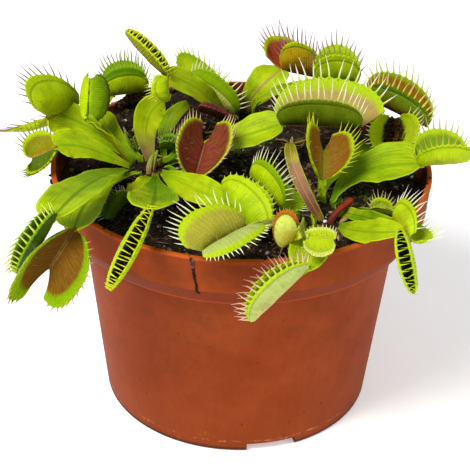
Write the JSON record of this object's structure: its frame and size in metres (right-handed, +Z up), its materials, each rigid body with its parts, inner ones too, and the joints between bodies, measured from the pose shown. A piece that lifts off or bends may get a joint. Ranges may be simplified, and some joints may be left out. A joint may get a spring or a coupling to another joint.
{
  "type": "potted venus flytrap",
  "caption": "Clump of venus flytraps with toothed traps on flat leaf blades, growing in soil in a round plastic pot with a deep collar.",
  "frame": {"origin": "middle of the pot's underside, on the plane it stands on", "axes": "+Z up along the pot's axis; -Y towards the front of the plant; +X to the right seen from the front"},
  "size_m": [0.1542, 0.1538, 0.1182],
  "materials": {
    "pot": "satin",
    "soil": "rough and crumbly",
    "leaf_green": "waxy leaf, softly glossy",
    "leaf_olive": "waxy leaf, softly glossy",
    "leaf_yellow": "waxy leaf, softly glossy",
    "leaf_dark": "waxy leaf, softly glossy",
    "leaf_red": "waxy leaf, softly glossy",
    "leaf_tan": "waxy leaf, softly glossy"
  },
  "bodies": {
    "root": {"pot": "pot", "soil": "soil", "leaf_left_01": "leaf_olive", "leaf_left_02": "leaf_olive", "leaf_left_03": "leaf_dark", "leaf_left_04": "leaf_olive", "leaf_left_05": "leaf_yellow", "leaf_left_06": "leaf_green", "leaf_left_07": "leaf_yellow", "leaf_middle_01": "leaf_olive", "leaf_middle_02": "leaf_green", "leaf_middle_03": "leaf_red", "leaf_middle_04": "leaf_yellow", "leaf_middle_05": "leaf_green", "leaf_left_08": "leaf_olive", "leaf_middle_06": "leaf_olive", "leaf_right_01": "leaf_olive", "leaf_right_02": "leaf_green", "leaf_right_03": "leaf_dark", "leaf_left_09": "leaf_red", "leaf_left_10": "leaf_green", "leaf_right_04": "leaf_yellow", "leaf_right_05": "leaf_green", "leaf_right_06": "leaf_tan", "leaf_right_07": "leaf_yellow", "leaf_right_08": "leaf_yellow", "leaf_right_09": "leaf_yellow", "leaf_right_10": "leaf_green", "leaf_right_11": "leaf_yellow", "leaf_right_12": "leaf_dark", "leaf_left_11": "leaf_dark", "leaf_left_12": "leaf_dark", "leaf_left_13": "leaf_green", "leaf_left_14": "leaf_green", "leaf_left_15": "leaf_green", "young_leaves": "leaf_tan", "flower_stalk": "leaf_red", "old_leaf_stump": "leaf_tan"}
  },
  "joints": []
}
